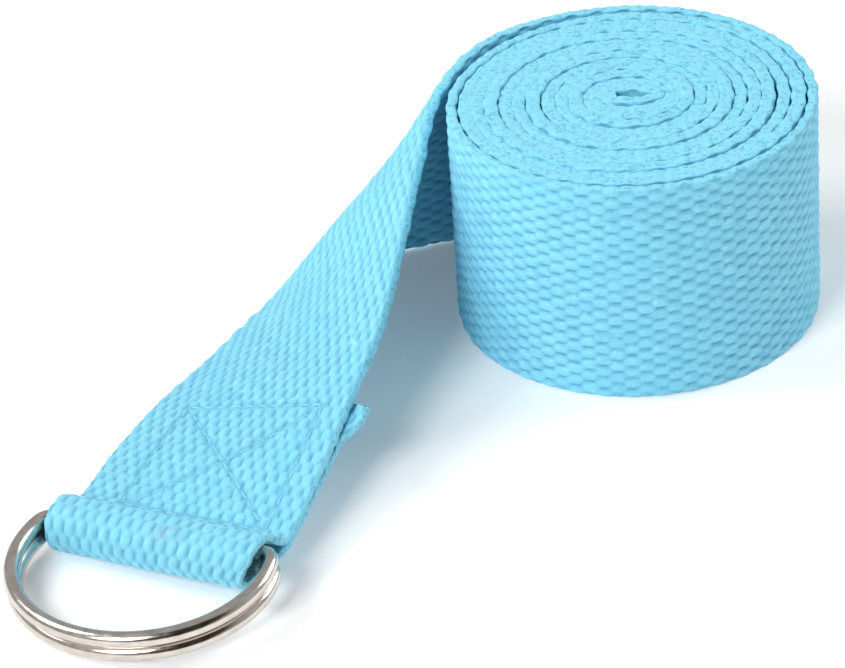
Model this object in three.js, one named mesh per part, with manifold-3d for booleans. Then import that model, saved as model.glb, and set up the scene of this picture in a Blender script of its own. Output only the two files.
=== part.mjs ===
// Stretching strap: a woven webbing strap rolled up and standing on its edge, with a free tail
// that twists over onto its face and ends in a sewn loop holding two D-rings.
// Millimetres, +Z up. The origin is where the roll's axis meets the surface it stands on.
// The tail leaves the roll at the back left and runs towards -Y.
import * as THREE from 'three';
import { mergeVertices } from 'three/addons/utils/BufferGeometryUtils.js';
import Module from 'manifold-3d';

const wasm = await Module();
wasm.setup();

// ---- driving dimensions -------------------------------------------------------------------
const WIDTH = 38;                 // webbing width, 1.5 inch
const THICKNESS = 1.8;            // webbing over the crowns of the weave
const SEWN_THICKNESS = 1.3;       // where it is pulled tight round the bars and sewn
const PITCH = 2.2;                // radial step from one turn of the roll to the next
const GAP = 0.3;                  // clearance between touching pieces
const LEAVE_DEG = 112;            // where the outer turn lifts off the roll, from +X
const LEAVE_RADIUS = 29.8;        // middle of the webbing there
const OFF_CENTRE = { x: -0.5, y: -0.4 };  // of the outer turn, to even out its spiral
const OUTER_SWEEP_DEG = 345;      // how much of the outer turn is still round the roll
const ROLL_CHAMFER = 0.4;

// Middle of the webbing along its low edge and its high edge, every 15 mm or so from the place
// where it leaves the roll. The low edge stays near the surface while the high edge comes down.
const LOW_EDGE = [
  [-25.2, 22.8, 0.2], [-40, 18.4, 0.8], [-53.4, 11.4, 1.8], [-62.4, -0.8, 1.4],
  [-70.4, -13.6, 1.4], [-77.8, -26.6, 2.6], [-84.4, -39.8, 3.1],
];
const HIGH_EDGE = [
  [-22.7, 19.9, 38], [-30.2, 7.6, 36.3], [-34, -5.8, 30.8], [-37.5, -18.6, 24.6],
  [-41.3, -31.4, 18.4], [-46.6, -44.4, 13.6], [-51.9, -57.6, 9.4],
];
const PIVOT_INDEX = 2.7;          // place along those points, from the roll, where the tail swings
const PIVOT_GAP = 0.85;           // webbing left out on each side of it

// Sewn loop: a local frame (u across the strap, g back towards the roll, v up through the layers).
const LOOP_FRONT = new THREE.Vector3(-78, -70.2, 1.1);
const LOOP_YAW_DEG = 28.6;        // the fold's direction, turned from +X towards -Y
const LOOP_RISE_DEG = 2.7;        // the right-hand end of the fold is the higher one
const LOOP_WIDTH = 34.6;          // the webbing draws in a little where it folds
const UNDER_LAYER = 0.75;         // v of the lower layer's middle
const OVER_LAYER = 7.37;          // v of the upper layer's middle over the bars
const FOLD_DEPTH = 2.4;           // g from the front of the fold to where its top is level
const SEWN_FROM = 9.6;            // g where the two layers meet
const SEWN_LAYER = 4.2;           // v of the upper layer's middle there
const UNDER_LENGTH = 29.2;        // folded-under length past SEWN_FROM, to the cut end
const UNDER_SKEW = 2.4;           // how far the cut end sits off to the right

// D-rings: round wire, straight bar in the loop, half-round bow outside it.
const WIRE = 2.5;
const RING_HALF_WIDTH = 19.95;    // to the wire's centre, so 37.4 mm clear inside
const RING_DEPTH = 23.25;
const RING_WIDEST = 5.7;          // from the bar to the widest part of the bow
const RING_CORNER = 2.2;
const RING_SKEW_DEG = 2.7;        // the bars lie slightly askew in the loop
const RING_DROP_DEG = 5.8;        // the bows slope down to the surface
const LOWER_BAR = { u: -0.3, g: 3.9, v: 2.81 };
const UPPER_BAR = { u: -0.3, g: 3.6, v: 5.35 };
const WIRE_SIDES = 10;
const RING_STEPS = 60;

// Box-and-cross stitching
const BOX_FROM = 1.2;             // from SEWN_FROM
const BOX_TO = 27.1;
const BOX_LEFT = -11.6;
const BOX_RIGHT = 14.2;
const THREAD_WIDTH = 0.7;
const THREAD_HEIGHT = 0.3;
const THREAD_GAP = 0.15;

const radians = THREE.MathUtils.degToRad;
const lerp = THREE.MathUtils.lerp;

// ---- materials ------------------------------------------------------------------------------
function webbingMaterial() {
  return new THREE.MeshStandardMaterial({ color: 0x6fd0ee, roughness: 0.85, metalness: 0 });
}

function threadMaterial() {
  return new THREE.MeshStandardMaterial({ color: 0x7fdcf5, roughness: 0.6, metalness: 0 });
}

function nickelMaterial() {
  return new THREE.MeshStandardMaterial({ color: 0xb8b0a8, roughness: 0.22, metalness: 1 });
}

// ---- geometry helpers -----------------------------------------------------------------------
function signedVolume(positions, triangles) {
  const corners = [new THREE.Vector3(), new THREE.Vector3(), new THREE.Vector3()];
  let volume = 0;
  for (let i = 0; i < triangles.length; i += 3) {
    corners.forEach((corner, k) => corner.fromArray(positions, 3 * triangles[i + k]));
    volume += corners[0].dot(corners[1].clone().cross(corners[2])) / 6;
  }
  return volume;
}

function closedGeometry(positions, triangles) {
  const outward = signedVolume(positions, triangles) > 0;
  const index = [];
  for (let i = 0; i < triangles.length; i += 3) {
    const [a, b, c] = triangles.slice(i, i + 3);
    index.push(...(outward ? [a, b, c] : [a, c, b]));
  }
  const geometry = new THREE.BufferGeometry();
  geometry.setAttribute('position', new THREE.Float32BufferAttribute(positions, 3));
  geometry.setIndex(index);
  geometry.computeVertexNormals();
  return geometry;
}

// A flat strip. Each station holds the strip's middle at its low edge and at its high edge, and
// its own thickness where that differs; the faces are offset square to the ruled surface.
function stripGeometry(stations, evenThickness) {
  const positions = [];
  const triangles = [];
  const last = stations.length - 1;
  stations.forEach((station, i) => {
    const before = stations[Math.max(i - 1, 0)];
    const after = stations[Math.min(i + 1, last)];
    const across = station.high.clone().sub(station.low);
    const half = (station.thickness ?? evenThickness) / 2;
    const faces = ['low', 'high'].map((edge) => {
      const along = after[edge].clone().sub(before[edge]);
      const normal = along.cross(across).normalize().multiplyScalar(half);
      return [station[edge].clone().add(normal), station[edge].clone().sub(normal)];
    });
    const ring = [faces[0][0], faces[1][0], faces[1][1], faces[0][1]];
    ring.forEach((point) => positions.push(point.x, point.y, point.z));
  });
  for (let i = 0; i < last; i += 1) {
    for (let k = 0; k < 4; k += 1) {
      const a = 4 * i + k;
      const b = 4 * i + ((k + 1) % 4);
      triangles.push(a, b, b + 4, a, b + 4, a + 4);
    }
  }
  const end = 4 * last;
  triangles.push(0, 2, 1, 0, 3, 2, end, end + 1, end + 2, end, end + 2, end + 3);
  return closedGeometry(positions, triangles);
}

function toManifold(geometry) {
  const bare = geometry.clone();
  bare.deleteAttribute('normal');
  bare.deleteAttribute('uv');
  const merged = mergeVertices(bare);
  return new wasm.Manifold(new wasm.Mesh({
    numProp: 3,
    vertProperties: new Float32Array(merged.getAttribute('position').array),
    triVerts: new Uint32Array(merged.getIndex().array),
  }));
}

function fromManifold(solid) {
  const mesh = solid.getMesh();
  const geometry = new THREE.BufferGeometry();
  geometry.setAttribute('position', new THREE.BufferAttribute(mesh.vertProperties, 3));
  geometry.setIndex(new THREE.BufferAttribute(mesh.triVerts, 1));
  geometry.computeVertexNormals();
  return geometry;
}

function named(name, geometry, material) {
  const mesh = new THREE.Mesh(geometry, material);
  mesh.name = name;
  return mesh;
}

// ---- the loop's frame -----------------------------------------------------------------------
const yaw = radians(LOOP_YAW_DEG);
const rise = radians(LOOP_RISE_DEG);
const ACROSS = new THREE.Vector3(
  Math.cos(yaw) * Math.cos(rise), -Math.sin(yaw) * Math.cos(rise), Math.sin(rise),
);
const BACK = new THREE.Vector3(Math.sin(yaw), Math.cos(yaw), 0);
const UP = ACROSS.clone().cross(BACK);

function loopPoint(u, g, v) {
  return LOOP_FRONT.clone()
    .addScaledVector(ACROSS, u)
    .addScaledVector(BACK, g)
    .addScaledVector(UP, v);
}

function loopStation(g, v) {
  return { low: loopPoint(-LOOP_WIDTH / 2, g, v), high: loopPoint(LOOP_WIDTH / 2, g, v) };
}

// ---- the webbing's route --------------------------------------------------------------------
function turnStation(degrees, radius) {
  const angle = radians(degrees);
  const x = OFF_CENTRE.x + radius * Math.cos(angle);
  const y = OFF_CENTRE.y + radius * Math.sin(angle);
  return { low: new THREE.Vector3(x, y, 0), high: new THREE.Vector3(x, y, WIDTH) };
}

const FOLD_HALF_HEIGHT = (OVER_LAYER - UNDER_LAYER) / 2;

// The upper layer slopes down behind the bars to the lower one, which rises to meet it.
const LOOP_TOP = [[SEWN_FROM, SEWN_LAYER], [8.8, 4.7], [8, 5.3], [7.1, 6.1],
  [6.2, 6.85], [5, 7.35], [FOLD_DEPTH, OVER_LAYER]];

const routeStations = [
  turnStation(LEAVE_DEG - 28, LEAVE_RADIUS - 0.1),
  turnStation(LEAVE_DEG, LEAVE_RADIUS),
  ...LOW_EDGE.map((low, i) => ({
    low: new THREE.Vector3(...low),
    high: new THREE.Vector3(...HIGH_EDGE[i]),
  })),
  ...LOOP_TOP.map(([g, v]) => loopStation(g, v)),
];
const lowCurve = new THREE.CatmullRomCurve3(routeStations.map((station) => station.low));
const highCurve = new THREE.CatmullRomCurve3(routeStations.map((station) => station.high));
const ROUTE_SPANS = routeStations.length - 1;
const SEWN_INDEX = ROUTE_SPANS - LOOP_TOP.length + 1;

// The webbing thins over the last two points before it is sewn.
function routeStation(index) {
  const t = index / ROUTE_SPANS;
  const squeeze = THREE.MathUtils.smoothstep(index, SEWN_INDEX - 2, SEWN_INDEX);
  return {
    low: lowCurve.getPoint(t),
    high: highCurve.getPoint(t),
    thickness: lerp(THICKNESS, SEWN_THICKNESS, squeeze),
  };
}

function routeStretch(from, to, steps) {
  return Array.from({ length: steps + 1 }, (_, i) => routeStation(lerp(from, to, i / steps)));
}

// Station at a distance back from SEWN_FROM towards the roll.
const STEP = 0.01;
function sewnStation(distance) {
  const middle = (station) => station.low.clone().add(station.high).multiplyScalar(0.5);
  let index = SEWN_INDEX;
  let travelled = 0;
  let here = middle(routeStation(index));
  while (travelled < distance) {
    index -= STEP;
    const next = middle(routeStation(index));
    travelled += next.distanceTo(here);
    here = next;
  }
  return { ...routeStation(index), index };
}

// A point of the sewn stretch: u across, distance back from SEWN_FROM, and the height above the
// upper layer's middle that riseOf gives for its thickness there.
function sewnPoint(u, distance, riseOf) {
  const { low, high, index, thickness } = sewnStation(distance);
  const share = 0.5 + u / WIDTH;
  const towardsRoll = routeStation(index - 0.1);
  const along = towardsRoll.low.lerp(towardsRoll.high, share).sub(low.clone().lerp(high, share));
  const up = high.clone().sub(low).cross(along).normalize();
  return low.clone().lerp(high, share).addScaledVector(up, riseOf(thickness));
}

// ---- the pieces -----------------------------------------------------------------------------
function rollGeometry() {
  const shift = Math.hypot(OFF_CENTRE.x, OFF_CENTRE.y);
  const radius = LEAVE_RADIUS - PITCH - THICKNESS / 2 - shift - GAP;
  const profile = [
    [0, 0], [radius - ROLL_CHAMFER, 0], [radius, ROLL_CHAMFER],
    [radius, WIDTH - ROLL_CHAMFER], [radius - ROLL_CHAMFER, WIDTH], [0, WIDTH],
  ].map(([x, y]) => new THREE.Vector2(x, y));
  return new THREE.LatheGeometry(profile, 72).rotateX(Math.PI / 2);
}

function outerTurnGeometry() {
  const degreesPerStep = 7.5;
  const steps = OUTER_SWEEP_DEG / degreesPerStep;
  const stations = [];
  for (let i = 0; i < steps; i += 1) {
    const degrees = LEAVE_DEG - OUTER_SWEEP_DEG + i * degreesPerStep;
    const turned = (LEAVE_DEG - degrees) / 360;
    stations.push(turnStation(degrees, LEAVE_RADIUS - PITCH * turned));
  }
  const end = sewnPivotIndex(-PIVOT_GAP);
  return stripGeometry([...stations, ...routeStretch(1, end, 12)], THICKNESS);
}

// Index that lies an offset in millimetres past the tail's pivot.
function sewnPivotIndex(offset) {
  const here = routeStation(PIVOT_INDEX);
  const there = routeStation(PIVOT_INDEX + 0.1);
  return PIVOT_INDEX + (0.1 * offset) / here.high.distanceTo(there.high);
}

function tailGeometry() {
  const start = sewnPivotIndex(PIVOT_GAP);
  const stations = [
    ...routeStretch(start, SEWN_INDEX, 30),
    ...routeStretch(SEWN_INDEX, ROUTE_SPANS, 12).slice(1),
  ];
  return stripGeometry(stations, THICKNESS);
}

const underLayerRise = (thickness) => -(thickness + SEWN_THICKNESS) / 2 - GAP;

function foldGeometry() {
  const stations = [];
  const foldSteps = 16;
  const firstAngle = GAP / FOLD_DEPTH;
  for (let i = 0; i <= foldSteps; i += 1) {
    const angle = lerp(firstAngle, Math.PI, i / foldSteps);
    const g = FOLD_DEPTH - FOLD_DEPTH * Math.sin(angle);
    const v = UNDER_LAYER + FOLD_HALF_HEIGHT * (1 + Math.cos(angle));
    stations.push(loopStation(g, v));
  }
  stations.push(loopStation(5, UNDER_LAYER));
  const underSteps = 8;
  for (let i = 0; i <= underSteps; i += 1) {
    const distance = lerp(0.5, UNDER_LENGTH, i / underSteps);
    const skew = UNDER_SKEW * (distance / UNDER_LENGTH) ** 2;
    stations.push({
      low: sewnPoint(skew - LOOP_WIDTH / 2, distance, underLayerRise),
      high: sewnPoint(skew + LOOP_WIDTH / 2, distance, underLayerRise),
    });
  }
  return stripGeometry(stations, SEWN_THICKNESS);
}

// One run of stitching between two corners of the box, lying on the strap's surface.
function stitchRun(from, to, riseOf) {
  const direction = new THREE.Vector2(to[0] - from[0], to[1] - from[1]).normalize();
  const side = new THREE.Vector2(-direction.y, direction.x).multiplyScalar(THREAD_WIDTH / 2);
  const overrun = direction.clone().multiplyScalar(THREAD_WIDTH / 2);
  const steps = 6;
  const stations = Array.from({ length: steps + 1 }, (_, i) => {
    const u = lerp(from[0] - overrun.x, to[0] + overrun.x, i / steps);
    const distance = lerp(from[1] - overrun.y, to[1] + overrun.y, i / steps);
    return {
      low: sewnPoint(u - side.x, distance - side.y, riseOf),
      high: sewnPoint(u + side.x, distance + side.y, riseOf),
    };
  });
  return toManifold(stripGeometry(stations, THREAD_HEIGHT));
}

function stitchGeometry(riseOf) {
  const corners = [
    [BOX_LEFT, BOX_FROM], [BOX_RIGHT, BOX_FROM],
    [BOX_RIGHT, BOX_TO], [BOX_LEFT, BOX_TO],
  ];
  const runs = corners.map((corner, i) => stitchRun(corner, corners[(i + 1) % 4], riseOf));
  runs.push(stitchRun(corners[0], corners[2], riseOf));
  runs.push(stitchRun(corners[1], corners[3], riseOf));
  return fromManifold(runs.reduce((joined, run) => joined.add(run)));
}

// The D-ring lies in the XY plane here, with its bar along X and its bow towards +Y.
function ringGeometry() {
  const outline = new THREE.Path();
  const bowDepth = RING_DEPTH - RING_WIDEST;
  const bowStart = -Math.asin((RING_WIDEST - 0.7 * RING_CORNER) / bowDepth);
  const flare = Math.atan(-Math.tan(bowStart) * (RING_HALF_WIDTH / bowDepth));
  const straight = RING_HALF_WIDTH * Math.cos(bowStart) - RING_CORNER * Math.cos(flare);
  outline.moveTo(-straight, 0);
  outline.lineTo(straight, 0);
  outline.absarc(straight, RING_CORNER, RING_CORNER, -Math.PI / 2, -flare);
  outline.absellipse(
    0, RING_WIDEST, RING_HALF_WIDTH, bowDepth, bowStart, Math.PI - bowStart,
  );
  outline.absarc(-straight, RING_CORNER, RING_CORNER, Math.PI + flare, 1.5 * Math.PI);
  const points = outline.getSpacedPoints(RING_STEPS).slice(0, RING_STEPS);
  const positions = [];
  const triangles = [];
  points.forEach((point, i) => {
    const ahead = points[(i + 1) % RING_STEPS];
    const behind = points[(i + RING_STEPS - 1) % RING_STEPS];
    const outward = new THREE.Vector2(ahead.y - behind.y, behind.x - ahead.x).normalize();
    for (let k = 0; k < WIRE_SIDES; k += 1) {
      const angle = (2 * Math.PI * k) / WIRE_SIDES;
      const reach = (WIRE / 2) * Math.cos(angle);
      const height = (WIRE / 2) * Math.sin(angle);
      positions.push(point.x + outward.x * reach, point.y + outward.y * reach, height);
      const a = i * WIRE_SIDES + k;
      const b = i * WIRE_SIDES + ((k + 1) % WIRE_SIDES);
      const c = ((i + 1) % RING_STEPS) * WIRE_SIDES + ((k + 1) % WIRE_SIDES);
      const d = ((i + 1) % RING_STEPS) * WIRE_SIDES + k;
      triangles.push(a, b, c, a, c, d);
    }
  });
  return closedGeometry(positions, triangles);
}

function ring(name, bar) {
  const mesh = named(name, ringGeometry(), nickelMaterial());
  const skew = radians(RING_SKEW_DEG);
  const drop = radians(RING_DROP_DEG);
  const barAxis = ACROSS.clone().multiplyScalar(Math.cos(skew)).addScaledVector(BACK, Math.sin(skew));
  const level = barAxis.clone().cross(UP).normalize();
  const outward = level.multiplyScalar(Math.cos(drop)).addScaledVector(UP, -Math.sin(drop));
  const normal = barAxis.clone().cross(outward);
  mesh.quaternion.setFromRotationMatrix(new THREE.Matrix4().makeBasis(barAxis, outward, normal));
  mesh.position.copy(loopPoint(bar.u, bar.g, bar.v));
  return mesh;
}

// ---- assembly -------------------------------------------------------------------------------
const strap = new THREE.Group();
const needleRise = (thickness) => thickness / 2 + THREAD_GAP + THREAD_HEIGHT / 2;
const bobbinRise = (thickness) => underLayerRise(thickness) - needleRise(SEWN_THICKNESS);

strap.add(named('webbing_roll', rollGeometry(), webbingMaterial()));
strap.add(named('webbing_outer_turn', outerTurnGeometry(), webbingMaterial()));
strap.add(named('webbing_tail', tailGeometry(), webbingMaterial()));
strap.add(named('webbing_fold', foldGeometry(), webbingMaterial()));
strap.add(named('needle_thread', stitchGeometry(needleRise), threadMaterial()));
strap.add(named('bobbin_thread', stitchGeometry(bobbinRise), threadMaterial()));
strap.add(ring('d_ring_upper', UPPER_BAR));
strap.add(ring('d_ring_lower', LOWER_BAR));

export default strap;
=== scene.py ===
"""Looks for the rolled stretching strap: woven webbing, sewn loop, stitching and two D-rings.

Lengths are in millimetres up to the moment a mesh is made, which is in metres. A place on the
webbing is given by x, across it from its low edge to its high edge, and s, the distance along its
middle from the roll towards the loop. Its face +1 is outside on the roll and on top at the loop.
"""
import math

import bpy
import numpy as np
from mathutils import Matrix, Vector


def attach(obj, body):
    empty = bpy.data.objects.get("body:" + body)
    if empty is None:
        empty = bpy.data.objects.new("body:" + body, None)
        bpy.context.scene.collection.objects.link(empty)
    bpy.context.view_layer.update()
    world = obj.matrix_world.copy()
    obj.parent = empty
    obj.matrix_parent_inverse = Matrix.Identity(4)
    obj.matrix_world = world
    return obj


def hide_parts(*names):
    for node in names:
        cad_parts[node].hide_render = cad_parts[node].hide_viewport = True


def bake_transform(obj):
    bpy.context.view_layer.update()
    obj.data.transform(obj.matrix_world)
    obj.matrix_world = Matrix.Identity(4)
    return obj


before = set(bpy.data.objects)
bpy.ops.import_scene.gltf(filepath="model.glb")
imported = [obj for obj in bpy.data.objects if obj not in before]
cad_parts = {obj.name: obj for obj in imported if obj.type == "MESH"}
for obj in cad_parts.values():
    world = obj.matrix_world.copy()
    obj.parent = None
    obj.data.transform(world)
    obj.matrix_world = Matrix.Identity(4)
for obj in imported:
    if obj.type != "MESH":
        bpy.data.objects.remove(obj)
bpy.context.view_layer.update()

MM = 0.001

# ---- the webbing's route, as in the CAD model ---------------------------------------------------
WIDTH = 38.0
THICKNESS = 1.8
SEWN_THICKNESS = 1.3
PITCH = 2.2
LEAVE_DEG = 112.0
LEAVE_RADIUS = 29.8
OFF_CENTRE = (-0.5, -0.4)
LOW_EDGE = [
    (-25.2, 22.8, 0.2), (-40, 18.4, 0.8), (-53.4, 11.4, 1.8), (-62.4, -0.8, 1.4),
    (-70.4, -13.6, 1.4), (-77.8, -26.6, 2.6), (-84.4, -39.8, 3.1),
]
HIGH_EDGE = [
    (-22.7, 19.9, 38), (-30.2, 7.6, 36.3), (-34, -5.8, 30.8), (-37.5, -18.6, 24.6),
    (-41.3, -31.4, 18.4), (-46.6, -44.4, 13.6), (-51.9, -57.6, 9.4),
]
BOW = (0.3, 2.0, 2.6, 0.2, 0, 0, 0)   # outward bow of the middle at each of those places
RUN_UP_DEG = (28, 56, 84, 112)    # where the tail's route follows the outer turn before it leaves
SEAM_DEG = RUN_UP_DEG[1]          # where the outer turn's piece and the tail's piece meet, at s = 0

# The sewn loop has its own directions: u across the webbing, g back from the front of the fold
# towards the roll, and v up through the layers.
LOOP_FRONT = np.array((-78, -70.2, 1.1))
LOOP_YAW = math.radians(28.6)
LOOP_RISE = math.radians(2.7)
LOOP_LEFT = -17.9                 # the webbing's edges over the bars
LOOP_RIGHT = 18.4
DRAW_IN_OVER = 0.85               # the right-hand edge pulls in over the bars
OVER_BARS_TO = 6.8                # up to this g, easing off to where the sewing starts
DRAW_IN_UNDER = 2.1               # and further in below them
UNDER_BARS_FROM = 1.5             # up to this v, easing off to the layer over the bars
UNDER_BARS_TO = 7.5               # and easing off from the fold back to this g
UNDER_LAYER = 0.75                # v of the layers below and above the bars
OVER_LAYER = 7.37
FOLD_DEPTH = 2.4
FOLD_SPLIT = 0.83 * math.pi       # how far round the fold the tail's piece goes
SEWN_FROM = 9.6                   # g and v where the two layers are first sewn together
SEWN_LAYER = 4.2
UNDER_FLAT = (2.9, 5.0)           # where the under layer lies flat behind the fold
UNDER_START = 0.6                 # the sewn part of the under layer, back from the sewing's start
UNDER_LENGTH = 29.2
UNDER_INSET = 0.5                 # how much narrower the under layer is on each side
UNDER_LEAN = 0.4                  # it drifts to the right by this much on its way back
UNDER_SKEW = 2.4                  # and by this much more near its cut end
LAYER_GAP = 0.2
LOOP_TOP = [
    (SEWN_FROM, SEWN_LAYER), (8.8, 4.7), (8, 5.3), (7.1, 6.1), (6.2, 6.85), (5, 7.35),
    (FOLD_DEPTH, OVER_LAYER),
]
LOOP_BOW = (-0.45, -0.4, -0.3, -0.2, -0.1, 0, 0)

ACROSS = np.array((
    math.cos(LOOP_YAW) * math.cos(LOOP_RISE),
    -math.sin(LOOP_YAW) * math.cos(LOOP_RISE),
    math.sin(LOOP_RISE),
))
BACK = np.array((math.sin(LOOP_YAW), math.cos(LOOP_YAW), 0.0))
UP = np.cross(ACROSS, BACK)

# ---- the roll's inner turns ----------------------------------------------------------------------
# "Turns" are counted inwards from where the tail leaves the roll.
INNER_FROM = 1.05                 # the inner turns' piece starts here
CORE_TURN = 12.95                 # and this is the webbing's hidden end
PRESSED_DEG = (35, 80, 140, 178)  # behind, the turns press inwards: from, fully, until, to
PRESSED_IN = 0.75
PRESSED_FADE = 3                  # turns over which that dies away
RIPPLES = [(0.07, 3, 1.7), (0.05, 5, -2.3)]   # height, waves a turn, drift a turn
INNER_SHIFT = (-0.4, -0.3)        # the inner turns' centre against the outer turn's
HEART = (-0.3, -0.3)              # centre of the innermost turns
HEART_STRETCH = (2.0, -0.6)       # which are squeezed flat round the hidden end
EDGE_LIFT = 0.22                  # how far the turns' high edges stand above or below each other
FULLNESS = 0.35                   # extra half-thickness of the turns pressed against each other
SLACK = 0.16                      # less of it where they are slack, around this direction
SLACK_DEG = -25

# ---- D-rings -------------------------------------------------------------------------------------
WIRE = 2.5
RING_HALF_WIDTH = 19.95
RING_DEPTH = 23.25
RING_WIDEST = 5.7                 # distance from the bar to where the bow is widest
RING_CORNER = 2.2
CORNER_SHARE = 0.7                # the bow's ends are this share of that radius past the bar
RING_SAMPLES = 320
RING_SKEW = math.radians(2.7)
RING_DROP = math.radians(5.8)
LOWER_BAR = (-0.3, 3.9, 2.81)     # u, g and v of the middle of each bar
UPPER_BAR = (-0.3, 3.6, 5.35)

# ---- the weave -----------------------------------------------------------------------------------
WARP_ENDS = 36
END_SPACING = WIDTH / WARP_ENDS
PICK_SPACING = 2.25
BUMP_HALF_WIDTH = 1.08
BUMP_HALF_LENGTH = 1.62
BUMP_WANDER = 0.10                # how far crowns stray from even spacing, as a share of it
BUMP_UNEVEN = 0.25                # how much lower the lowest crowns are
GROUND = 0.42                     # from the webbing's middle to the bottom of the pits
RELIEF = 0.55                     # from there to the crowns
SEWN_GROUND = 0.30                # the same two where the webbing is sewn and pulled thin
SEWN_RELIEF = 0.46
SELVEDGE = 0.5                    # width of the rounded edge
PACKED_SELVEDGE = 0.28            # the same inside the roll, where the turns press flat
EDGE_FILL = (0.7, 0.35)           # the picks' turns fill the pits: over what width, how far
PACKED_FILL = (1.5, 0.35)         # the same inside the roll
FILL_WHOLE = 0.3                  # the outer share of that width that is filled all the way
BEAD = 0.10                       # half the depth of the dips between the picks' turns
STEP = PICK_SPACING / 5
RIM_DEGREES = (0, 25, 48, 68, 90)     # samples round the rounded edge
TOP_BAND = 15                     # on hidden faces the weave shows only beyond this x
FACE_APART = 5                    # keeps the two faces' colour patterns different
FRAY_REACH = 1.2                  # length of the cut end that frays
FRAY = 0.9                        # how unevenly its warp ends stop
FRAY_ROUND = 1.5                  # and how far back they stop at its corners
FRAY_ROUND_FROM = 15.5

# ---- stitching -----------------------------------------------------------------------------------
BOX_FROM = 1.2
BOX_TO = 27.1
BOX_LEFT = -11.6
BOX_RIGHT = 14.2
STITCH = 2.7
STITCH_SAMPLES = 12
STITCH_DIVE = 0.45                # how deep the thread dives between stitches
THREAD_RADIUS = 0.16
THREAD_RISE = 0.22                # where it lies on top, as a share of the weave's relief
THREAD_CLEARANCE = 0.02           # and its distance from the crowns beneath
DIP_HALF_WIDTH = 0.6              # the stitching flattens the weave this far to each side
DIP_DEPTH = 0.6                   # and by this share of its height
CORNERS = [(BOX_LEFT, BOX_FROM), (BOX_RIGHT, BOX_FROM), (BOX_RIGHT, BOX_TO), (BOX_LEFT, BOX_TO)]
RUNS = [(0, 1), (1, 2), (2, 3), (3, 0), (0, 2), (1, 3)]


def smoothstep(value, start, end):
    """0 up to start, 1 from end on, and a smooth rise between them."""
    t = np.clip((value - start) / (end - start), 0, 1)
    return t * t * (3 - 2 * t)


def unit(vectors):
    """The vectors with their lengths made 1."""
    return vectors / np.linalg.norm(vectors, axis=-1, keepdims=True)


def scatter(a, b):
    """A fixed number from 0 to 1 for each pair of whole numbers."""
    value = np.sin(a * 12.9898 + b * 78.233) * 43758.5453
    return value - np.floor(value)


# ---- routes --------------------------------------------------------------------------------------
# A route is a dictionary of arrays: s, the low and high edges' points, the bow of the middle, and
# how far the webbing is pulled thin, from 0 to 1. In the roll it also has how full the turns are.
SPIRAL_SAMPLES = 24000
SPAN_SAMPLES = 80                 # between two given places of the tail
FOLD_SAMPLES = 90                 # of the tail's share of the fold
NUDGE = 0.3                       # step for a surface's directions


def make_route(low, high, bow, thin, start=0.0):
    middle = (low + high) / 2
    steps = np.linalg.norm(np.diff(middle, axis=0), axis=1)
    s = start + np.concatenate(([0], np.cumsum(steps)))
    return {"s": s, "low": low, "high": high, "bow": bow, "thin": thin}


def along_route(route, key, s):
    values = route[key]
    if values.ndim == 1:
        return np.interp(s, route["s"], values)
    return np.stack([np.interp(s, route["s"], values[:, k]) for k in range(3)], axis=-1)


def by_tightness(route, s, loose, sewn):
    """A measure of the webbing that changes from loose to sewn as the webbing is pulled thin."""
    thin = along_route(route, "thin", s)
    return loose * (1 - thin) + sewn * thin


def layer_drop(tail, s):
    """Distance from the tail's middle down to the middle of the layer beneath it."""
    return (by_tightness(tail, s, THICKNESS, SEWN_THICKNESS) + SEWN_THICKNESS) / 2 + LAYER_GAP


def middle_point(route, x, s):
    """Points of the webbing's middle surface, without its bow."""
    share = (0.5 + x / WIDTH)[..., None]
    return along_route(route, "low", s) * (1 - share) + along_route(route, "high", s) * share


def middle_frame(route, x, s):
    """Points of the middle surface and its normals towards face +1."""
    point = middle_point(route, x, s)
    travel = middle_point(route, x, s + NUDGE) - middle_point(route, x, s - NUDGE)
    across = middle_point(route, x + NUDGE, s) - middle_point(route, x - NUDGE, s)
    normal = unit(np.cross(travel, across))
    bow = along_route(route, "bow", s) * (1 - (2 * x / WIDTH) ** 2)
    return point + normal * bow[..., None], normal


def spline(points, per_span):
    """Centripetal Catmull-Rom curve through the points, with per_span samples in each span."""
    points = np.array(points, float)
    points = np.vstack((2 * points[0] - points[1], points, 2 * points[-1] - points[-2]))
    curve = []
    for k in range(1, len(points) - 2):
        p0, p1, p2, p3 = points[k - 1:k + 3]
        d0, d1, d2 = (np.linalg.norm(b - a) ** 0.5 for a, b in ((p0, p1), (p1, p2), (p2, p3)))
        t1 = ((p1 - p0) / d0 - (p2 - p0) / (d0 + d1) + (p2 - p1) / d1) * d1
        t2 = ((p2 - p1) / d1 - (p3 - p1) / (d1 + d2) + (p3 - p2) / d2) * d1
        t = np.arange(per_span)[:, None] / per_span
        curve.append(
            p1 + t1 * t + (3 * (p2 - p1) - 2 * t1 - t2) * t ** 2 + (2 * (p1 - p2) + t1 + t2) * t ** 3
        )
    curve.append(points[-2][None, :])
    return np.vstack(curve)


def loop_point(u, g, v):
    """Points from the loop's own directions."""
    u, g, v = (np.asarray(value, float)[..., None] for value in (u, g, v))
    return LOOP_FRONT + u * ACROSS + g * BACK + v * UP


def loop_edges(g, v):
    """Low and high edge over the bars. The high edge draws in, most of all below the bars."""
    g, v = np.asarray(g, float), np.asarray(v, float)
    below = 1 - smoothstep(v, UNDER_BARS_FROM, OVER_LAYER)
    front = 1 - smoothstep(g, FOLD_DEPTH, UNDER_BARS_TO)
    drawn = DRAW_IN_OVER * (1 - smoothstep(g, OVER_BARS_TO, SEWN_FROM))
    drawn += DRAW_IN_UNDER * below * front
    low = loop_point(np.full(g.shape, LOOP_LEFT), g, v)
    return low, loop_point(LOOP_RIGHT - drawn, g, v)


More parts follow.
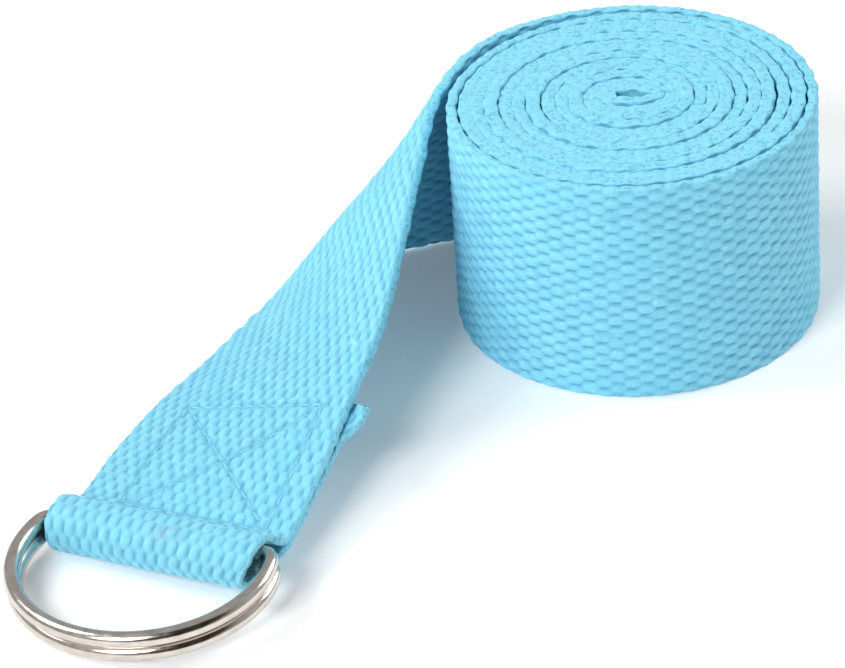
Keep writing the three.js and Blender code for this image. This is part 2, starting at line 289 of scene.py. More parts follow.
def spiral_radius(turned, degrees):
    """Radius of the webbing's middle after that many turns inwards from where it leaves the roll."""
    radius = LEAVE_RADIUS - PITCH * turned
    start, whole, until, end = PRESSED_DEG
    behind = smoothstep(degrees, start, whole) * (1 - smoothstep(degrees, until, end))
    inside = smoothstep(turned, 0.70, 0.80)
    fade = np.exp(-np.clip(turned - 1, 0, None) / PRESSED_FADE)
    radius = radius - PRESSED_IN * behind * inside * fade
    lean = np.radians(degrees)
    ripple = sum(high * np.sin(waves * lean + drift * turned) for high, waves, drift in RIPPLES)
    return radius + ripple * smoothstep(turned, 1.1, 2.0)


def spiral_centre(turned):
    """The inner turns sit towards the front left, and the innermost ones back in the middle."""
    shifted = smoothstep(turned, 1.2, 4.0)
    heart = smoothstep(turned, 4.5, 12.0)
    return [
        OFF_CENTRE[k] + INNER_SHIFT[k] * shifted + (HEART[k] - OFF_CENTRE[k] - INNER_SHIFT[k]) * heart
        for k in (0, 1)
    ]


def spiral_route(first_turn, last_turn, end_s):
    """The rolled-up webbing, from first_turn out to last_turn, which is at end_s."""
    turned = np.linspace(first_turn, last_turn, SPIRAL_SAMPLES)
    degrees = LEAVE_DEG - 360 * turned
    angle = np.radians(degrees)
    radius = spiral_radius(turned, degrees % 360)
    flat = smoothstep(turned, 9.0, CORE_TURN)
    x0, y0 = spiral_centre(turned)
    x = x0 + (radius + HEART_STRETCH[0] * flat) * np.cos(angle)
    y = y0 + (radius + HEART_STRETCH[1] * flat) * np.sin(angle)
    zero = np.zeros_like(x)
    wave = np.sin(2.1 * turned + 0.6 * np.sin(angle))
    lift = EDGE_LIFT * wave * smoothstep(turned, 0.9, 1.6)
    low = np.stack((x, y, zero), axis=-1)
    high = np.stack((x, y, WIDTH + lift), axis=-1)
    route = make_route(low, high, zero, zero)
    route["s"] += end_s - route["s"][-1]
    slack_side = np.clip(np.cos(angle - math.radians(SLACK_DEG)), 0, 1) ** 1.5
    uneven = 0.6 + 0.4 * np.sin(2.6 * turned + 1.0)
    route["full"] = (FULLNESS - SLACK * slack_side * uneven) * smoothstep(turned, 0.96, 1.08)
    return route


def turn_edges(degrees):
    """Low and high edge of the outer turn."""
    angle = math.radians(degrees)
    radius = LEAVE_RADIUS - PITCH * (LEAVE_DEG - degrees) / 360
    x = OFF_CENTRE[0] + radius * math.cos(angle)
    y = OFF_CENTRE[1] + radius * math.sin(angle)
    return (x, y, 0), (x, y, WIDTH)


def fold_edges(angles):
    """Low and high edge round the fold, from over the bars (0) to below them (pi)."""
    g = FOLD_DEPTH - FOLD_DEPTH * np.sin(angles)
    v = UNDER_LAYER + (OVER_LAYER - UNDER_LAYER) / 2 * (1 + np.cos(angles))
    return loop_edges(g, v)


def tail_route():
    """From the roll along the twisted tail, over the bars and round the front of the fold."""
    turns = [turn_edges(degrees) for degrees in RUN_UP_DEG]
    top = [loop_edges(g, v) for g, v in LOOP_TOP]
    low = [edge[0] for edge in turns] + LOW_EDGE + [edge[0] for edge in top]
    high = [edge[1] for edge in turns] + HIGH_EDGE + [edge[1] for edge in top]
    index = np.arange((len(low) - 1) * SPAN_SAMPLES + 1) / SPAN_SAMPLES
    sewn_index = len(low) - len(top)
    bows = [0] * len(turns) + list(BOW) + list(LOOP_BOW)
    bow = spline([(value, k, 0) for k, value in enumerate(bows)], SPAN_SAMPLES)[:, 0]
    thin = smoothstep(index, sewn_index - 2, sewn_index)
    past_top = 0.02               # the first place of the fold, clear of the last one above it
    fold_low, fold_high = fold_edges(np.linspace(past_top, FOLD_SPLIT, FOLD_SAMPLES))
    route = make_route(
        np.vstack((spline(low, SPAN_SAMPLES), fold_low)),
        np.vstack((spline(high, SPAN_SAMPLES), fold_high)),
        np.concatenate((bow, np.zeros(FOLD_SAMPLES))),
        np.concatenate((thin, np.ones(FOLD_SAMPLES))),
    )
    route["s"] -= route["s"][SPAN_SAMPLES]
    route["sewn"] = route["s"][sewn_index * SPAN_SAMPLES]
    return route


def under_route(tail):
    """The rest of the fold and the layer sewn beneath the tail, to the cut end."""
    fold_low, fold_high = fold_edges(np.linspace(FOLD_SPLIT, math.pi, 40))
    flat_low, flat_high = loop_edges(np.linspace(*UNDER_FLAT, 8), np.full(8, UNDER_LAYER))
    back = np.linspace(UNDER_START, UNDER_LENGTH, 120)
    skew = UNDER_LEAN * back / UNDER_LENGTH
    skew = skew + UNDER_SKEW * smoothstep(back / UNDER_LENGTH, 0.70, 0.90)
    s = tail["sewn"] - back
    drop = layer_drop(tail, s)
    edges = []
    for side in (-1, 1):
        point, normal = middle_frame(tail, side * (WIDTH / 2 - UNDER_INSET) + skew, s)
        edges.append(point - normal * drop[:, None])
    low = np.vstack((fold_low, flat_low, edges[0]))
    high = np.vstack((fold_high, flat_high, edges[1]))
    bow = np.concatenate((np.zeros(len(low) - len(back)), -along_route(tail, "bow", s)))
    return make_route(low, high, bow, np.ones(len(low)), tail["s"][-1])


# ---- the weave's relief --------------------------------------------------------------------------
def weave(x, s, face):
    """Height of the warp bumps on one face, from 0 in the pits to 1 on the crowns."""
    end = np.floor(x / END_SPACING)
    pick = np.round(s / PICK_SPACING)
    height = np.zeros(np.broadcast(x, s).shape)
    for end_off in (-1, 0, 1):
        for pick_off in (-1, 0, 1):
            e, p = end + end_off, pick + pick_off
            on_top = (e + p + (face < 0)) % 2 == 0
            vary = scatter(e, p)
            crown_x = (e + 0.5 + BUMP_WANDER * (scatter(p, e) - 0.5)) * END_SPACING
            crown_s = (p + BUMP_WANDER * (vary - 0.5)) * PICK_SPACING
            dx = (x - crown_x) / BUMP_HALF_WIDTH
            ds = (s - crown_s) / BUMP_HALF_LENGTH
            dome = np.clip(1 - dx ** 2, 0, 1) ** 0.8 * np.clip(1 - np.abs(ds) ** 3, 0, 1) ** 0.7
            dome = dome * (1 - BUMP_UNEVEN + BUMP_UNEVEN * vary)
            height = np.maximum(height, np.where(on_top, dome, 0))
    return height


def stitch_dip(x, back):
    """How far the stitching pulls the surface in: 1 on a run of stitches, 0 away from it."""
    nearest = np.full(np.broadcast(x, back).shape, np.inf)
    for a, b in RUNS:
        start, end = np.array(CORNERS[a]), np.array(CORNERS[b])
        length = np.linalg.norm(end - start)
        direction = (end - start) / length
        dx, db = x - start[0], back - start[1]
        t = np.clip(dx * direction[0] + db * direction[1], 0, length)
        nearest = np.minimum(nearest, np.hypot(dx - t * direction[0], db - t * direction[1]))
    return np.exp(-(nearest / DIP_HALF_WIDTH) ** 2)


def edge_share(x, selvedge):
    """0 over the flat of the webbing, rising to 1 at its very edge."""
    return np.clip((np.abs(x) - (WIDTH / 2 - selvedge)) / selvedge, 0, 1)


def half_thickness(route, x, s, face):
    """Distance from the middle surface to one face, and the weave's height there."""
    width, fill = PACKED_FILL if "full" in route else EDGE_FILL
    filled = fill * smoothstep(np.abs(x), WIDTH / 2 - width, WIDTH / 2 - FILL_WHOLE * width)
    height = np.maximum(weave(x, s, face), filled)
    ground = by_tightness(route, s, GROUND, SEWN_GROUND)
    if "full" in route:
        ground = ground + along_route(route, "full", s)
    relief = by_tightness(route, s, RELIEF, SEWN_RELIEF)
    round_off = np.sqrt(np.clip(1 - edge_share(x, route.get("selvedge", SELVEDGE)) ** 3, 0, 1))
    if "sewn" in route and face > 0:
        height = height * (1 - DIP_DEPTH * stitch_dip(x, route["sewn"] - s))
    return (ground + relief * height) * round_off, height


def across_samples(step, selvedge, top_only=False):
    """Places across the webbing, closer together round the selvedges."""
    flat = WIDTH / 2 - selvedge
    inner = np.arange(-math.floor(flat / step), math.floor(flat / step) + 1) * step
    if top_only:
        inner = np.concatenate((inner[:1], [0.0], inner[inner > TOP_BAND]))
    rim = flat + selvedge * np.sin(np.radians(RIM_DEGREES))
    return np.concatenate((-rim[::-1], inner, rim))


FINE = across_samples(END_SPACING / 4, SELVEDGE)
TOP_ONLY = across_samples(END_SPACING / 2, SELVEDGE, top_only=True)
PACKED_TOP = across_samples(END_SPACING / 2, PACKED_SELVEDGE, top_only=True)


# ---- meshes --------------------------------------------------------------------------------------
def make_object(name, points, faces, material, smooth=None):
    mesh = bpy.data.meshes.new(name)
    mesh.from_pydata((np.asarray(points) * MM).tolist(), [], faces)
    mesh.materials.append(material)
    flags = np.ones(len(mesh.polygons), bool) if smooth is None else np.array(smooth, bool)
    mesh.polygons.foreach_set("use_smooth", flags)
    mesh.validate()
    mesh.update()
    thing = bpy.data.objects.new(name, mesh)
    bpy.context.scene.collection.objects.link(thing)
    return thing


def set_points(thing, name, kind, values):
    attribute = thing.data.attributes.new(name, kind, "POINT")
    key = "value" if kind == "FLOAT" else "vector"
    attribute.data.foreach_set(key, np.asarray(values, np.float32).ravel())


def sharpen_caps(thing, cap_count):
    """The end faces keep their own shading, so pieces that meet end to end show no join."""
    mesh = thing.data
    sharp = np.zeros(len(mesh.edges), bool)
    for polygon in list(mesh.polygons)[-cap_count:]:
        for loop in polygon.loop_indices:
            sharp[mesh.loops[loop].edge_index] = True
    attribute = mesh.attributes.new("sharp_edge", "BOOLEAN", "EDGE")
    attribute.data.foreach_set("value", sharp)


def woven_strip(name, route, s_values, material, front=FINE, rear=FINE, ragged=None):
    """A closed strip of webbing along a route, with the weave's relief on both faces."""
    back = rear[1:-1][::-1]
    x = np.concatenate((front, back))[None, :]
    face = np.concatenate((np.ones(len(front)), -np.ones(len(back))))[None, :]
    s = np.asarray(s_values, float)[:, None] + 0 * x
    if ragged is not None:
        s = s + ragged(s, x)
    bead = BEAD * (np.cos(2 * math.pi * s / PICK_SPACING) - 1) * edge_share(x, SELVEDGE)
    beaded_x = x + np.sign(x) * bead
    plus, plus_height = half_thickness(route, x + 0 * s, s, 1)
    minus, minus_height = half_thickness(route, x + 0 * s, s, -1)
    offset = np.where(face > 0, plus, -minus)
    height = np.where(face > 0, plus_height, minus_height)
    centre, normal = middle_frame(route, beaded_x + 0 * s, s)
    points = (centre + normal * offset[..., None]).reshape(-1, 3)
    rings, around = s.shape
    a = np.arange(rings - 1)[:, None] * around + np.arange(around)[None, :]
    b = np.arange(rings - 1)[:, None] * around + (np.arange(around) + 1)[None, :] % around
    quads = np.stack((a, b, b + around, a + around), axis=-1).reshape(-1, 4).tolist()
    caps = [list(range(around))[::-1], list(range((rings - 1) * around, rings * around))]
    smooth = [True] * len(quads) + [False] * 2
    thing = make_object(name, points, quads + caps, material, smooth)
    sharpen_caps(thing, 2)
    set_points(thing, "weave", "FLOAT", height)
    strap = np.stack((x + 0 * s, s, face * FACE_APART + 0 * s), axis=-1)
    set_points(thing, "strap", "FLOAT_VECTOR", strap)
    set_points(thing, "place", "FLOAT_VECTOR", points)
    return thing


def tube(path, frame_up, radius, sides, closed):
    """Points and faces of a round tube along a path, and how far each point is along it."""
    if closed:
        ahead, behind = np.roll(path, -1, axis=0), np.roll(path, 1, axis=0)
    else:
        ahead, behind = np.vstack((path[1:], path[-1:])), np.vstack((path[:1], path[:-1]))
    tangent = unit(ahead - behind)
    side = unit(np.cross(tangent, frame_up))
    up = np.cross(side, tangent)
    angle = 2 * math.pi * np.arange(sides) / sides
    reach = np.broadcast_to(np.asarray(radius, float), (len(path),))[:, None, None]
    spoke = side[:, None] * np.cos(angle)[None, :, None] + up[:, None] * np.sin(angle)[None, :, None]
    points = (path[:, None] + reach * spoke).reshape(-1, 3)
    rings = len(path)
    faces = []
    for i in range(rings if closed else rings - 1):
        j = (i + 1) % rings
        for k in range(sides):
            n = (k + 1) % sides
            faces.append((i * sides + k, j * sides + k, j * sides + n, i * sides + n))
    if not closed:
        faces.append(tuple(range(sides)))
        faces.append(tuple(reversed(range((rings - 1) * sides, rings * sides))))
    travelled = np.concatenate(([0], np.cumsum(np.linalg.norm(np.diff(path, axis=0), axis=1))))
    return points, faces, np.repeat(travelled, sides), np.tile(angle, rings)


def joined_tubes(name, tubes, material):
    """One object of several tubes, each a closed body."""
    points, faces, place = [], [], []
    for tube_points, tube_faces, travelled, angle in tubes:
        shift = sum(len(p) for p in points)
        points.append(tube_points)
        faces += [tuple(k + shift for k in face) for face in tube_faces]
        place.append(np.stack((travelled, np.cos(angle), np.sin(angle)), axis=-1))
    thing = make_object(name, np.vstack(points), faces, material)
    set_points(thing, "wire", "FLOAT_VECTOR", np.vstack(place))
    return thing


def stitch_path(route, run, face, rise):
    """Path of one run of stitches: each stitch arches over the webbing and dives into it."""
    start, end = (np.array(CORNERS[k]) for k in run)
    count = max(1, round(np.linalg.norm(end - start) / STITCH))
    t = np.linspace(0, 1, count * STITCH_SAMPLES + 1)
    x = start[0] + (end[0] - start[0]) * t
    s = route["sewn"] - (start[1] + (end[1] - start[1]) * t)
    arch = np.abs(np.sin(math.pi * count * t)) ** 0.5
    centre, normal = middle_frame(route, x, s)
    height = rise(s) - STITCH_DIVE * (1 - arch)
    return centre + face * normal * height[:, None], normal


def stitching(name, route, face, rise, material):
    """All the runs on one face. rise(s) is the thread's distance from the tail's middle."""
    tubes = []
    for run in RUNS:
        path, normal = stitch_path(route, run, face, rise)
        tubes.append(tube(path, normal, THREAD_RADIUS, sides=8, closed=False))
    return joined_tubes(name, tubes, material)


def ring_path(bar):
    """Centre line of a D-ring's wire, evenly spaced, and the ring's normal."""
    bow_depth = RING_DEPTH - RING_WIDEST
    start = -math.asin((RING_WIDEST - CORNER_SHARE * RING_CORNER) / bow_depth)
    flare = math.atan(-math.tan(start) * RING_HALF_WIDTH / bow_depth)
    straight = RING_HALF_WIDTH * math.cos(start) - RING_CORNER * math.cos(flare)
    turn = np.linspace(0, math.pi / 2 - flare, 40)
    sweep = np.linspace(start, math.pi - start, 400)
    right = RING_CORNER * np.stack((np.sin(turn), 1 - np.cos(turn)), 1) + (straight, 0)
    bow = np.stack((RING_HALF_WIDTH * np.cos(sweep), RING_WIDEST + bow_depth * np.sin(sweep)), 1)
    left = np.stack((-right[::-1, 0], right[::-1, 1]), 1)
    outline = np.vstack((right, bow[1:-1], left, right[:1]))
    steps = np.concatenate(([0], np.cumsum(np.linalg.norm(np.diff(outline, axis=0), axis=1))))
    even = np.linspace(0, steps[-1], RING_SAMPLES + 1)[:-1]
    flat = np.stack([np.interp(even, steps, outline[:, k]) for k in (0, 1)], axis=-1)
    bar_axis = ACROSS * math.cos(RING_SKEW) + BACK * math.sin(RING_SKEW)
    outward = unit(np.cross(bar_axis, UP)) * math.cos(RING_DROP) - UP * math.sin(RING_DROP)
    path = loop_point(*bar) + flat[:, :1] * bar_axis + flat[:, 1:] * outward
    return path, np.cross(bar_axis, outward)


def ring(name, bar, material):
    path, normal = ring_path(bar)
    return joined_tubes(name, [tube(path, normal, WIRE / 2, sides=28, closed=True)], material)


def frayed_end(x):
    """How far each warp end of the cut edge stops short of the end, as a negative length."""
    end = np.floor(x / END_SPACING)
    uneven = -FRAY * scatter(end, 5)
    return uneven - FRAY_ROUND * smoothstep(np.abs(x), FRAY_ROUND_FROM, WIDTH / 2) ** 2


# ---- materials -----------------------------------------------------------------------------------
class Nodes:
    """A short way to write a material's node tree."""

    def __init__(self, name):
        self.material = bpy.data.materials.new(name)
        self.material.use_nodes = True
        self.tree = self.material.node_tree
        self.shader = self.tree.nodes["Principled BSDF"]

    def add(self, kind, inputs=None, **settings):
        node = self.tree.nodes.new(kind)
        for key, value in settings.items():
            setattr(node, key, value)
        for key, value in (inputs or {}).items():
            self.put(node, key, value)
        return node

    def put(self, node, key, value):
        """Sets an input to a value or joins it to another node's output."""
        if isinstance(value, bpy.types.NodeSocket):
            self.tree.links.new(value, node.inputs[key])
        else:
            node.inputs[key].default_value = value

    def shade(self, **inputs):
        for key, value in inputs.items():
            self.put(self.shader, key.replace("_", " "), value)

    def attribute(self, name, output):
        return self.add("ShaderNodeAttribute", attribute_name=name).outputs[output]

    def noise(self, vector, scale=1.0, detail=3.0, roughness=0.5):
        inputs = {"Vector": vector, "Scale": scale, "Detail": detail, "Roughness": roughness}
        return self.add("ShaderNodeTexNoise", inputs).outputs["Fac"]

    def math(self, operation, a, b=0.0):
        return self.add("ShaderNodeMath", {0: a, 1: b}, operation=operation).outputs[0]

    def spread(self, value, low, high, new_low=0.0, new_high=1.0):
        """Stretches low..high to new_low..new_high, and holds what lies beyond."""
        inputs = {"Value": value, "From Min": low, "From Max": high,
                  "To Min": new_low, "To Max": new_high}
        return self.add("ShaderNodeMapRange", inputs).outputs[0]

    def stretch(self, vector, scale):
        return self.add("ShaderNodeMapping", {"Vector": vector, "Scale": scale}).outputs[0]

    def mix(self, share, a, b):
        """Colour a, with that share of colour b."""
        return self.add("ShaderNodeMix", {0: share, 6: a, 7: b}, data_type="RGBA").outputs[2]

    def bump(self, height, strength, distance, normal=None):
        inputs = {"Height": height, "Strength": strength, "Distance": distance}
        if normal is not None:
            inputs["Normal"] = normal
        return self.add("ShaderNodeBump", inputs).outputs[0]


def colour(r, g, b):
    return (r, g, b, 1.0)


# Painted shade: the colour the pits of the weave are darkened to, standing in for the shade that falls
# in them.
PAINTED_PIT_SHADE = colour(0.040, 0.27, 0.45)
CROWN = colour(0.235, 0.66, 0.86)
PALE_FILAMENT = colour(0.33, 0.80, 0.97)
PALE_MOTTLE = colour(0.36, 0.84, 0.99)
DEEP_MOTTLE = colour(0.11, 0.50, 0.72)
DEEP_PATCH = colour(0.14, 0.62, 0.85)
# Painted light: the paler colour the rounded selvedges are given, against the shade on them and
# between the turns.
SELVEDGE_PAINTED_LIGHT = colour(0.26, 0.72, 0.90)
SPECK = colour(0.09, 0.46, 0.66)
GREY_RUB = colour(0.30, 0.33, 0.44)
DEEP_THREAD = colour(0.14, 0.56, 0.78)
PALE_THREAD = colour(0.34, 0.80, 0.96)
DULL_NICKEL = colour(0.60, 0.54, 0.49)
BRIGHT_NICKEL = colour(0.74, 0.69, 0.64)

# Grey rub marks over the bars: x and distance past the sewing's start, then half width and length.
RUBBED = [(3.0, 9.0, 3.4, 1.7), (-15.4, 7.4, 2.0, 1.2)]


def rub_marks(n, tone, strap, place, sewn):
    """The tone with the rub marks on it."""
    smudge = n.noise(place, scale=0.9, roughness=0.7)
    for x, past, half_x, half_s in RUBBED:
        middle = (x, sewn + past, 0)
        offset = n.add("ShaderNodeVectorMath", {0: strap, 1: middle}, operation="SUBTRACT")
        scaled = n.stretch(offset.outputs[0], (1 / half_x, 1 / half_s, 0))
        reach = n.add("ShaderNodeVectorMath", {0: scaled}, operation="LENGTH").outputs["Value"]
        inside = n.spread(reach, 0.3, 1.2, new_low=1.0, new_high=0.0)
        amount = n.math("MULTIPLY", inside, n.spread(smudge, 0.42, 0.6))
        tone = n.mix(n.math("MULTIPLY", amount, 0.55), tone, GREY_RUB)
    return tone


def webbing_material(sewn):
    """Cyan polyester webbing: painted shade deepens it in the pits, pale on the crowns, with a
    filament grain.
    """
    n = Nodes("cyan_webbing")
    weave_height = n.attribute("weave", "Fac")
    strap = n.attribute("strap", "Vector")
    # Painted shade: the colour darkens towards the pits, following the weave's height.
    clear_of_pit_shade = n.spread(weave_height, 0.05, 0.75)
    tone = n.mix(clear_of_pit_shade, PAINTED_PIT_SHADE, CROWN)
    filament = n.noise(n.stretch(strap, (6.0, 0.9, 1.0)), detail=4.0, roughness=0.6)
    tone = n.mix(n.spread(filament, 0.35, 0.7, new_high=0.35), tone, PALE_FILAMENT)
    mottle = n.noise(n.stretch(strap, (0.9, 0.5, 1.0)), detail=2.0, roughness=0.7)
    tone = n.mix(n.spread(mottle, 0.56, 0.70, new_high=0.5), tone, PALE_MOTTLE)
    tone = n.mix(n.spread(mottle, 0.44, 0.30, new_high=0.5), tone, DEEP_MOTTLE)
    patch = n.noise(n.stretch(strap, (0.10, 0.05, 1.0)), detail=2.0)
    tone = n.mix(n.spread(patch, 0.35, 0.7, new_high=0.25), tone, DEEP_PATCH)
    place = n.attribute("place", "Vector")
    side = n.math("ABSOLUTE", n.add("ShaderNodeSeparateXYZ", {"Vector": strap}).outputs["X"])
    edge = n.spread(side, WIDTH / 2 - 0.35, WIDTH / 2 - 0.05)
    # Painted light: the selvedges are painted paler, so the shade on their rounded edges and in the
    # gaps between the turns shows less.
    tone = n.mix(n.math("MULTIPLY", edge, 0.6), tone, SELVEDGE_PAINTED_LIGHT)
    spots = n.noise(place, scale=1.3, detail=2.0, roughness=0.6)
    specks = n.spread(spots, 0.34, 0.48, new_low=0.85, new_high=0.0)
    tone = n.mix(n.math("MULTIPLY", specks, edge), tone, SPECK)
    tone = rub_marks(n, tone, strap, place, sewn)
    fine = n.noise(n.stretch(strap, (14.0, 2.2, 1.0)), roughness=0.7)
    bumped = n.bump(fine, strength=0.35, distance=0.12 * MM)
    bumped = n.bump(filament, strength=0.25, distance=0.2 * MM, normal=bumped)
    n.shade(
        Base_Color=tone,
        Roughness=n.spread(filament, 0.3, 0.7, new_low=0.62, new_high=0.85),
        Specular_IOR_Level=0.35,
        Sheen_Weight=0.25,
        Sheen_Roughness=0.5,
        Sheen_Tint=colour(0.6, 0.9, 1.0),
        Normal=bumped,
    )
    return n.material


def thread_material():
    """Twisted sewing thread in the webbing's colour."""
    n = Nodes("cyan_thread")
    wire = n.attribute("wire", "Vector")
    twist = n.noise(n.stretch(wire, (3.0, 2.0, 2.0)))
    tone = n.mix(twist, DEEP_THREAD, PALE_THREAD)
    n.shade(
        Base_Color=tone,
        Roughness=n.spread(twist, 0.3, 0.7, new_low=0.4, new_high=0.6),
        Sheen_Weight=0.2,
        Normal=n.bump(twist, strength=0.4, distance=0.1 * MM),
    )
    return n.material


def nickel_material():
    """Nickel-plated wire: warm, bright, with faint drawing lines and handling marks."""
    n = Nodes("nickel_wire")
    wire = n.attribute("wire", "Vector")
    lines = n.noise(n.stretch(wire, (0.35, 9.0, 9.0)), detail=4.0, roughness=0.6)
    marks = n.noise(n.stretch(wire, (0.5, 1.2, 1.2)))
    tone = n.mix(n.spread(marks, 0.3, 0.7), DULL_NICKEL, BRIGHT_NICKEL)
    n.shade(
        Base_Color=tone,
        Metallic=1.0,
        Roughness=n.spread(marks, 0.3, 0.75, new_low=0.13, new_high=0.24),
        Normal=n.bump(lines, strength=0.08, distance=0.05 * MM),
    )
    return n.material


def floor_material():
    """A plain pale floor."""
    n = Nodes("pale_floor")
    n.shade(
        Base_Color=colour(0.92, 0.92, 0.92),
        Roughness=0.9,
        Specular_IOR_Level=0.1,
        Emission_Color=colour(1, 1, 1),
        Emission_Strength=0.13,
    )
    return n.material


# ---- the pieces ----------------------------------------------------------------------------------
def strap_steps(start, end, step=STEP):
    """Evenly spaced distances that fall on the weave's picks, with the two ends themselves."""
    inner = np.arange(math.ceil(start / step + 0.2), math.floor(end / step - 0.2) + 1) * step
    return np.concatenate(([start], inner, [end]))


def build_webbing(tail, under, material):
    """The webbing's four pieces, and how long each one is, in millimetres."""
    seam_turn = (LEAVE_DEG - SEAM_DEG) / 360
    outer = spiral_route(INNER_FROM, seam_turn, 0.0)
    inner = spiral_route(CORE_TURN, INNER_FROM, outer["s"][0])
    inner["selvedge"] = PACKED_SELVEDGE
    cut_end = under["s"][-1]
    pieces = {
        "webbing_inner_turns": woven_strip(
            "webbing_inner_turns", inner, strap_steps(inner["s"][0], inner["s"][-1], PICK_SPACING / 4),
            material, PACKED_TOP, PACKED_TOP),
        "webbing_outside_turn": woven_strip(
            "webbing_outside_turn", outer, strap_steps(outer["s"][0], 0.0), material, FINE, TOP_ONLY),
        "webbing_twisted_tail": woven_strip(
            "webbing_twisted_tail", tail, strap_steps(0.0, tail["s"][-1]), material),
        "webbing_under_layer": woven_strip(
            "webbing_under_layer", under, strap_steps(under["s"][0], cut_end), material,
            ragged=lambda s, x: frayed_end(x) * smoothstep(s, cut_end - FRAY_REACH, cut_end)),
    }
    lengths = {
        "webbing_inner_turns": inner["s"][-1] - inner["s"][0],
        "webbing_outside_turn": -outer["s"][0],
        "webbing_twisted_tail": tail["s"][-1],
        "webbing_under_layer": cut_end - under["s"][0],
    }
    return pieces, lengths


def build_stitching(tail, material):
    """The needle thread on the tail's upper face and the bobbin thread beneath the lower layer."""
    def on_top(s):
        relief = by_tightness(tail, s, RELIEF, SEWN_RELIEF)
        return by_tightness(tail, s, GROUND, SEWN_GROUND) + THREAD_RISE * relief

    def beneath(s):
        return layer_drop(tail, s) + SEWN_GROUND + SEWN_RELIEF + THREAD_CLEARANCE

    return (
        stitching("needle_stitches", tail, 1, on_top, material),
        stitching("bobbin_stitches", tail, -1, beneath, material),
    )


def attach_webbing(pieces):
    roll = {"webbing_inner_turns": "webbing_roll", "webbing_outside_turn": "webbing_outer_turn"}
    for name, node in roll.items():
        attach(pieces[name], "roll")
        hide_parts(node)
    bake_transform(pieces["webbing_twisted_tail"])
    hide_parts("webbing_tail")
    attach(pieces["webbing_under_layer"], "tail")
    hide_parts("webbing_fold")


def build_rings(material):
    """The two D-rings, each on its own body."""
    upper = ring("d_ring_upper_wire", UPPER_BAR, material)
    lower = ring("d_ring_lower_wire", LOWER_BAR, material)
    for thing, body, node in (
        (upper, "ring_upper", "d_ring_upper"), (lower, "ring_lower", "d_ring_lower"),
    ):
        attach(thing, body)
        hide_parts(node)


def attach_stitching(needle, bobbin):
    """Ties both threads to the tail and hides their CAD nodes."""
    for thing, node in ((needle, "needle_thread"), (bobbin, "bobbin_thread")):
        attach(thing, "tail")
        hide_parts(node)


# ---- stage, light and camera ---------------------------------------------------------------------
CAMERA_TARGET = Vector((-35.53, -6.70, 0)) * MM
CAMERA_DISTANCE = 651.62 * MM
CAMERA_ELEVATION = math.radians(32.63)
CAMERA_ROLL = math.radians(4.01)
LENS = 171.70
SENSOR_WIDTH = 36

FLOOR_HALF = 3000.0
LIGHT_TARGET = (-0.03, -0.01, 0.0)
LIGHTS = [                        # name, place and side in metres, watts
    ("key", (-0.80, 0.10, 0.80), 0.45, 5.0),
    ("left_front", (-0.65, -0.85, 0.80), 0.5, 11.0),
    ("right_fill", (0.90, 0.35, 0.60), 0.5, 5.0),
]
SURROUNDINGS = colour(1, 1, 1)
SURROUNDINGS_STRENGTH = 0.42
DARK_REGION = colour(0.07, 0.05, 0.04)
DARK_TOWARDS = (0.14, -0.77, 0.62)
DARK_EDGE = (0.74, 0.86)          # closeness to that direction where it starts and is full


def build_camera():
    """A camera on the object's front, tipped down and rolled a little."""
    back = Vector((0, -math.cos(CAMERA_ELEVATION), math.sin(CAMERA_ELEVATION)))
    level_up = Vector((0, math.sin(CAMERA_ELEVATION), math.cos(CAMERA_ELEVATION)))
    level_right = Vector((1, 0, 0))
    right = level_right * math.cos(CAMERA_ROLL) - level_up * math.sin(CAMERA_ROLL)
    up = level_right * math.sin(CAMERA_ROLL) + level_up * math.cos(CAMERA_ROLL)
    data = bpy.data.cameras.new("camera")
    data.lens = LENS
    data.sensor_width = SENSOR_WIDTH
    data.sensor_fit = "HORIZONTAL"
    data.clip_start = 0.01
    camera = bpy.data.objects.new("camera", data)
    bpy.context.scene.collection.objects.link(camera)
    camera.matrix_world = Matrix.Translation(CAMERA_TARGET + back * CAMERA_DISTANCE) @ Matrix(
        (right, up, back)).transposed().to_4x4()
    bpy.context.scene.camera = camera


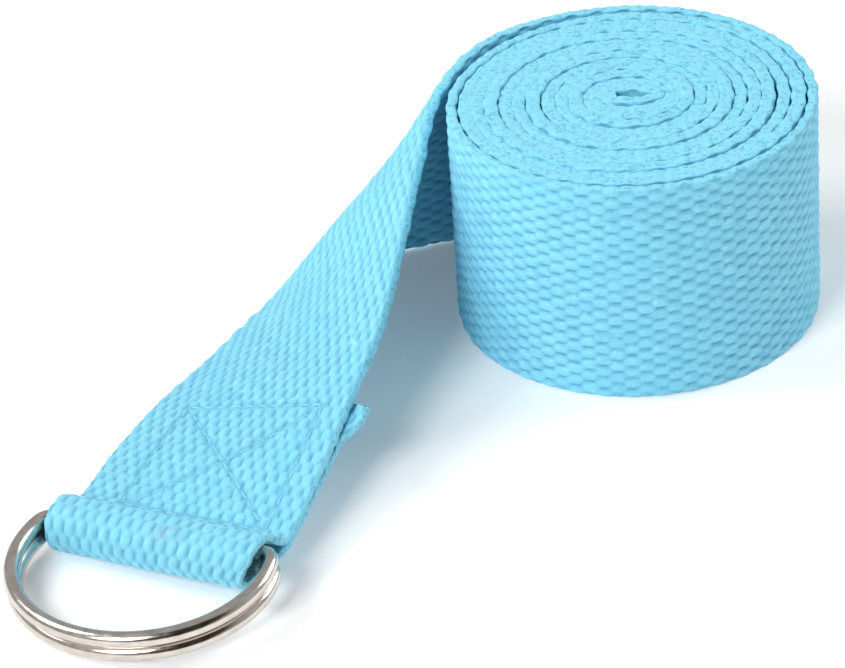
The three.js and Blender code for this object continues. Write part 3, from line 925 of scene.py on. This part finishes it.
def area_light(name, place, side, watts):
    """A square soft light aimed at the object."""
    data = bpy.data.lights.new(name, "AREA")
    data.shape = "RECTANGLE"
    data.size = data.size_y = side
    data.energy = watts
    light = bpy.data.objects.new(name, data)
    bpy.context.scene.collection.objects.link(light)
    light.location = place
    direction = Vector(LIGHT_TARGET) - Vector(place)
    light.rotation_euler = direction.to_track_quat("-Z", "Y").to_euler()


def build_world():
    """White surroundings with a dark brown region in front, which the nickel wire reflects."""
    world = bpy.data.worlds.new("studio")
    world.use_nodes = True
    tree = world.node_tree
    toward = tree.nodes.new("ShaderNodeTexCoord").outputs["Generated"]
    closeness = tree.nodes.new("ShaderNodeVectorMath")
    closeness.operation = "DOT_PRODUCT"
    tree.links.new(toward, closeness.inputs[0])
    closeness.inputs[1].default_value = DARK_TOWARDS
    dark = tree.nodes.new("ShaderNodeMapRange")
    dark.inputs["From Min"].default_value, dark.inputs["From Max"].default_value = DARK_EDGE
    tree.links.new(closeness.outputs["Value"], dark.inputs["Value"])
    surroundings = tree.nodes.new("ShaderNodeMix")
    surroundings.data_type = "RGBA"
    tree.links.new(dark.outputs[0], surroundings.inputs[0])
    surroundings.inputs[6].default_value = SURROUNDINGS
    surroundings.inputs[7].default_value = DARK_REGION
    background = tree.nodes["Background"]
    tree.links.new(surroundings.outputs[2], background.inputs["Color"])
    background.inputs["Strength"].default_value = SURROUNDINGS_STRENGTH
    bpy.context.scene.world = world


def build_stage():
    """Floor, surroundings and lights."""
    half = FLOOR_HALF
    corners = [(-half, -half, 0), (half, -half, 0), (half, half, 0), (-half, half, 0)]
    floor = make_object("floor", corners, [(0, 1, 2, 3)], floor_material())
    build_world()
    for name, place, side, watts in LIGHTS:
        area_light(name, place, side, watts)
    bpy.context.scene.view_settings.view_transform = "Standard"


# ---- assembly ------------------------------------------------------------------------------------
tail_path = tail_route()
webbing_pieces, webbing_lengths = build_webbing(
    tail_path, under_route(tail_path), webbing_material(tail_path["sewn"]))
needle_stitches, bobbin_stitches = build_stitching(tail_path, thread_material())
attach_webbing(webbing_pieces)
attach_stitching(needle_stitches, bobbin_stitches)
build_rings(nickel_material())
build_stage()
build_camera()
print("webbing lengths, mm:", {k: round(float(v), 1) for k, v in webbing_lengths.items()})
